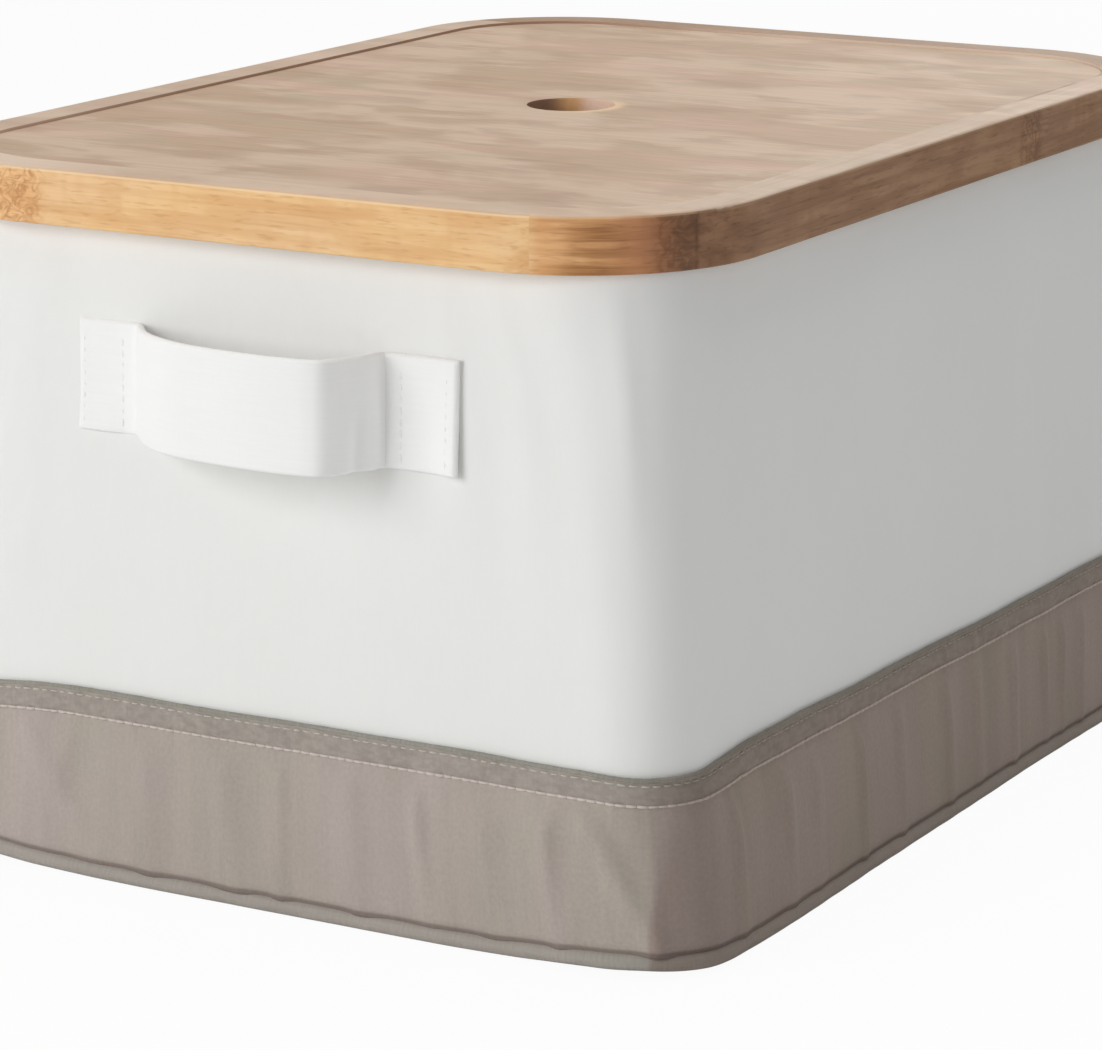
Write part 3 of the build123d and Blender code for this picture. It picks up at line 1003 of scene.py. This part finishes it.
def make_strap(end, side):
    line = smooth_line(np.array(strap_points) * MM, 10)
    tangent = np.gradient(line, axis=0)
    tangent /= np.linalg.norm(tangent, axis=1)[:, None]
    normal = np.column_stack([-tangent[:, 1], tangent[:, 0]])
    travelled = distances(line)
    length = travelled[-1]
    origin, along, out, up = strap_frame(side)
    ripple = SoftNoise(71 + side, length, 16, 34)
    loose = ramp(3 * MM, 9 * MM, line[:, 1])
    strap_turn = travelled[np.argmin(np.abs(line[:, 0] - 31 * MM))]
    half_width = strap_width / 2
    section, rows = strap_section(), []
    for k, (x, y) in enumerate(line):
        nx, ny = normal[k]
        left = min(travelled[k], length - travelled[k])
        taper = sqrt(max(0.0, 1 - (1 - min(1.0, left / (0.9 * MM))) ** 2)) * 0.75 + 0.25
        points = []
        for w, t in section:
            belly = loose[k] * 0.5 * MM * (1 - (w / half_width) ** 2)
            wave = loose[k] * 0.26 * MM * ripple(travelled[k], w)
            # The lower edge is dented where the loop comes back to the wall
            low_part = ramp(0.35, 0.6, 0.5 - 0.5 * w / half_width)
            returning = travelled[k] - strap_turn
            dent = -1.4 * MM * bump(returning, 7 * MM, 2.6 * MM) * low_part
            dent += 0.5 * MM * bump(returning, 12 * MM, 2.4 * MM) * low_part
            off = t * taper + belly + wave + dent
            lift = max(y + ny * off + strap_curl(x, w), 0.12 * MM)
            points.append(origin + along * (x + nx * off) + out * lift + up * w)
        rows.append(points)
    piece = grid_object(f"{end}_strap_cloth", rows, distances(section), travelled, close_rows=False)
    close_ends(piece, len(section))
    dressed(piece, strap_cloth, "strap_fabric", f"{end}_strap")


def make_strap_stitches(end, side):
    """Upright rows of stitches at both edges of each sewn end."""
    origin, along, out, up = strap_frame(side)
    reach = strap_width / 2 - 1.5 * MM
    radius, sink = 0.5 * MM, 0.43 * MM
    stitches = []
    for x in (-58 * MM, -45.5 * MM, 42.5 * MM, 56.5 * MM):
        surface = np.interp(x, *(np.array(strap_points).T * MM)) + strap_thickness / 2 - sink
        line = [
            origin + along * x + out * (surface + strap_curl(x, w)) + up * w
            for w in np.linspace(-reach, reach, 16)
        ]
        stitches += stitch_row(line, [out] * 16, 2.9 * MM, 0.3 * MM, radius)
    dressed(stitching(f"{end}_strap_stitching", stitches), white_thread, "strap_fabric")


# Camera, lights and stage

photo_width = 1102
focal_pixels = 4491
azimuth, elevation = radians(29.78), radians(13.82)
camera_aim, camera_distance = Vector((0.2538, -0.4553, 0.2)), 0.8151


def make_camera():
    data = bpy.data.cameras.new("camera")
    data.sensor_width = 36.0
    data.lens = focal_pixels / photo_width * data.sensor_width
    camera = linked("camera", data)
    level = cos(elevation)
    back = Vector((sin(azimuth) * level, -cos(azimuth) * level, sin(elevation)))
    camera.location = camera_aim + back * camera_distance
    camera.rotation_euler = (-back).to_track_quat("-Z", "Y").to_euler()
    scene.camera = camera


def area_light(name, place, size, power, target=(0, 0, 0.1)):
    data = bpy.data.lights.new(name, "AREA")
    data.shape, data.size, data.energy = "SQUARE", size, power
    light = linked(name, data)
    light.location = place
    light.rotation_euler = (Vector(target) - Vector(place)).to_track_quat("-Z", "Y").to_euler()


def make_world(ambient):
    world = bpy.data.worlds.new("studio")
    world.use_nodes = True
    lit = world.node_tree.nodes["Background"]
    lit.inputs["Color"].default_value = (1, 1, 1, 1)
    lit.inputs["Strength"].default_value = ambient
    Nodes(world.node_tree).show_white(lit, "Background", "World Output", 1)
    scene.world = world


def make_floor():
    half = 4.0
    corners = [(-half, -half, 0), (half, -half, 0), (half, half, 0), (-half, half, 0)]
    floor = mesh_object("floor", corners, [(0, 1, 2, 3)])
    s = Shader("floor_white", 0.9, Specular_IOR_Level=0.1)
    grey = s.mix(s.noise(s.place(), (3, 3, 3), detail=2), (0.86, 0.86, 0.86, 1), (0.88, 0.88, 0.88, 1))
    s.tree.links.new(grey, s.surface.inputs["Base Color"])
    s.show_white(s.surface, "Emission", "Material Output", 0.95)
    floor.data.materials.append(s.material)


# The CAD nodes that stay


def paint(material, *names):
    for name in names:
        nodes[name].material_slots[0].material = material


def paint_rail(side, *looks, **more):
    paint(bamboo(f"bamboo_{side}", *looks, **more), f"lid_rail_{side}")


# The long rails' darker tones are partly the bamboo's own colour, partly painted shade
paint_rail("front", 0, honey, (-74 * MM, 9 * MM, 0.65), 0.11, arris=0.5, tint=faint_lit_top)
paint_rail("back", 0, amber, (35 * MM, 6 * MM, 0.5), 0.23, tint=brown_top)
paint_rail("left", 1, walnut, (-60 * MM, 6 * MM, 0.5), 0.37)
near_end = ((-160 * MM, -100 * MM, umber),)
paint_rail("right", 1, walnut, (51 * MM, 7 * MM, 0.45), 0.52, near_end, line=0.6)
# The corners darken from honey towards the long rails: partly real colour, partly painted shade
corner_tones = ((1.26, 1.33, amber), (0.75, 1.05, russet), (0.5, 0.85, umber))
corner_knuckle, corner_heart = (0.57, 0.12, 0.4), (1.02, 0.15)
for end, tint in (("front", faint_lit_top), ("back", brown_top)):
    name = f"bamboo_corner_{end}"
    corner = bamboo(name, "round", honey, corner_knuckle, 0.61, corner_tones, corner_heart, 0.25, tint)
    paint(corner, f"lid_corner_{end}_left", f"lid_corner_{end}_right")
paint(veneer("panel_veneer"), "lid_panel_top_veneer", "lid_panel_bottom_veneer")
paint(panel_board("core_material"), "lid_panel_core")
paint(fibreboard("board_material", rgb(158, 134, 108)), "base_board", *wall_boards)

make_outer_fabric()
make_band()
make_band_edge()
make_band_stitches(
    "band_upper_stitching", band_thread, upper_row, length=2.4 * MM, gap=0.7 * MM, radius=0.27 * MM
)
make_band_stitches(
    "band_lower_stitching", pale_thread, lower_row, length=3.2 * MM, gap=-0.35 * MM, radius=0.4 * MM
)
make_piping()
make_wall_lining()
make_plate_cloth("floor_lining_cloth", "floor_lining", 18 * MM, lining_cloth, "lining_fabric", 0.25 * MM)
make_plate_cloth("base_fabric_cloth", "base_fabric", 20 * MM, taupe_cloth, "taupe_fabric", follow_base=True)
for end, side in (("front", -1), ("back", 1)):
    make_strap(end, side)
    make_strap_stitches(end, side)

make_camera()
area_light("key", (-1.15, -2.25, 0.95), size=1.6, power=36.8)
area_light("right_fill", (2.3, -0.6, 0.9), size=1.5, power=7)
area_light("back_fill", (-0.5, 2.7, 0.7), size=1.4, power=8.5)
area_light("top", (0.0, 0.25, 1.4), size=1.1, power=8, target=(0, 0.05, 0.2))
make_world(0.25)
make_floor()
scene.view_settings.view_transform = "Standard"
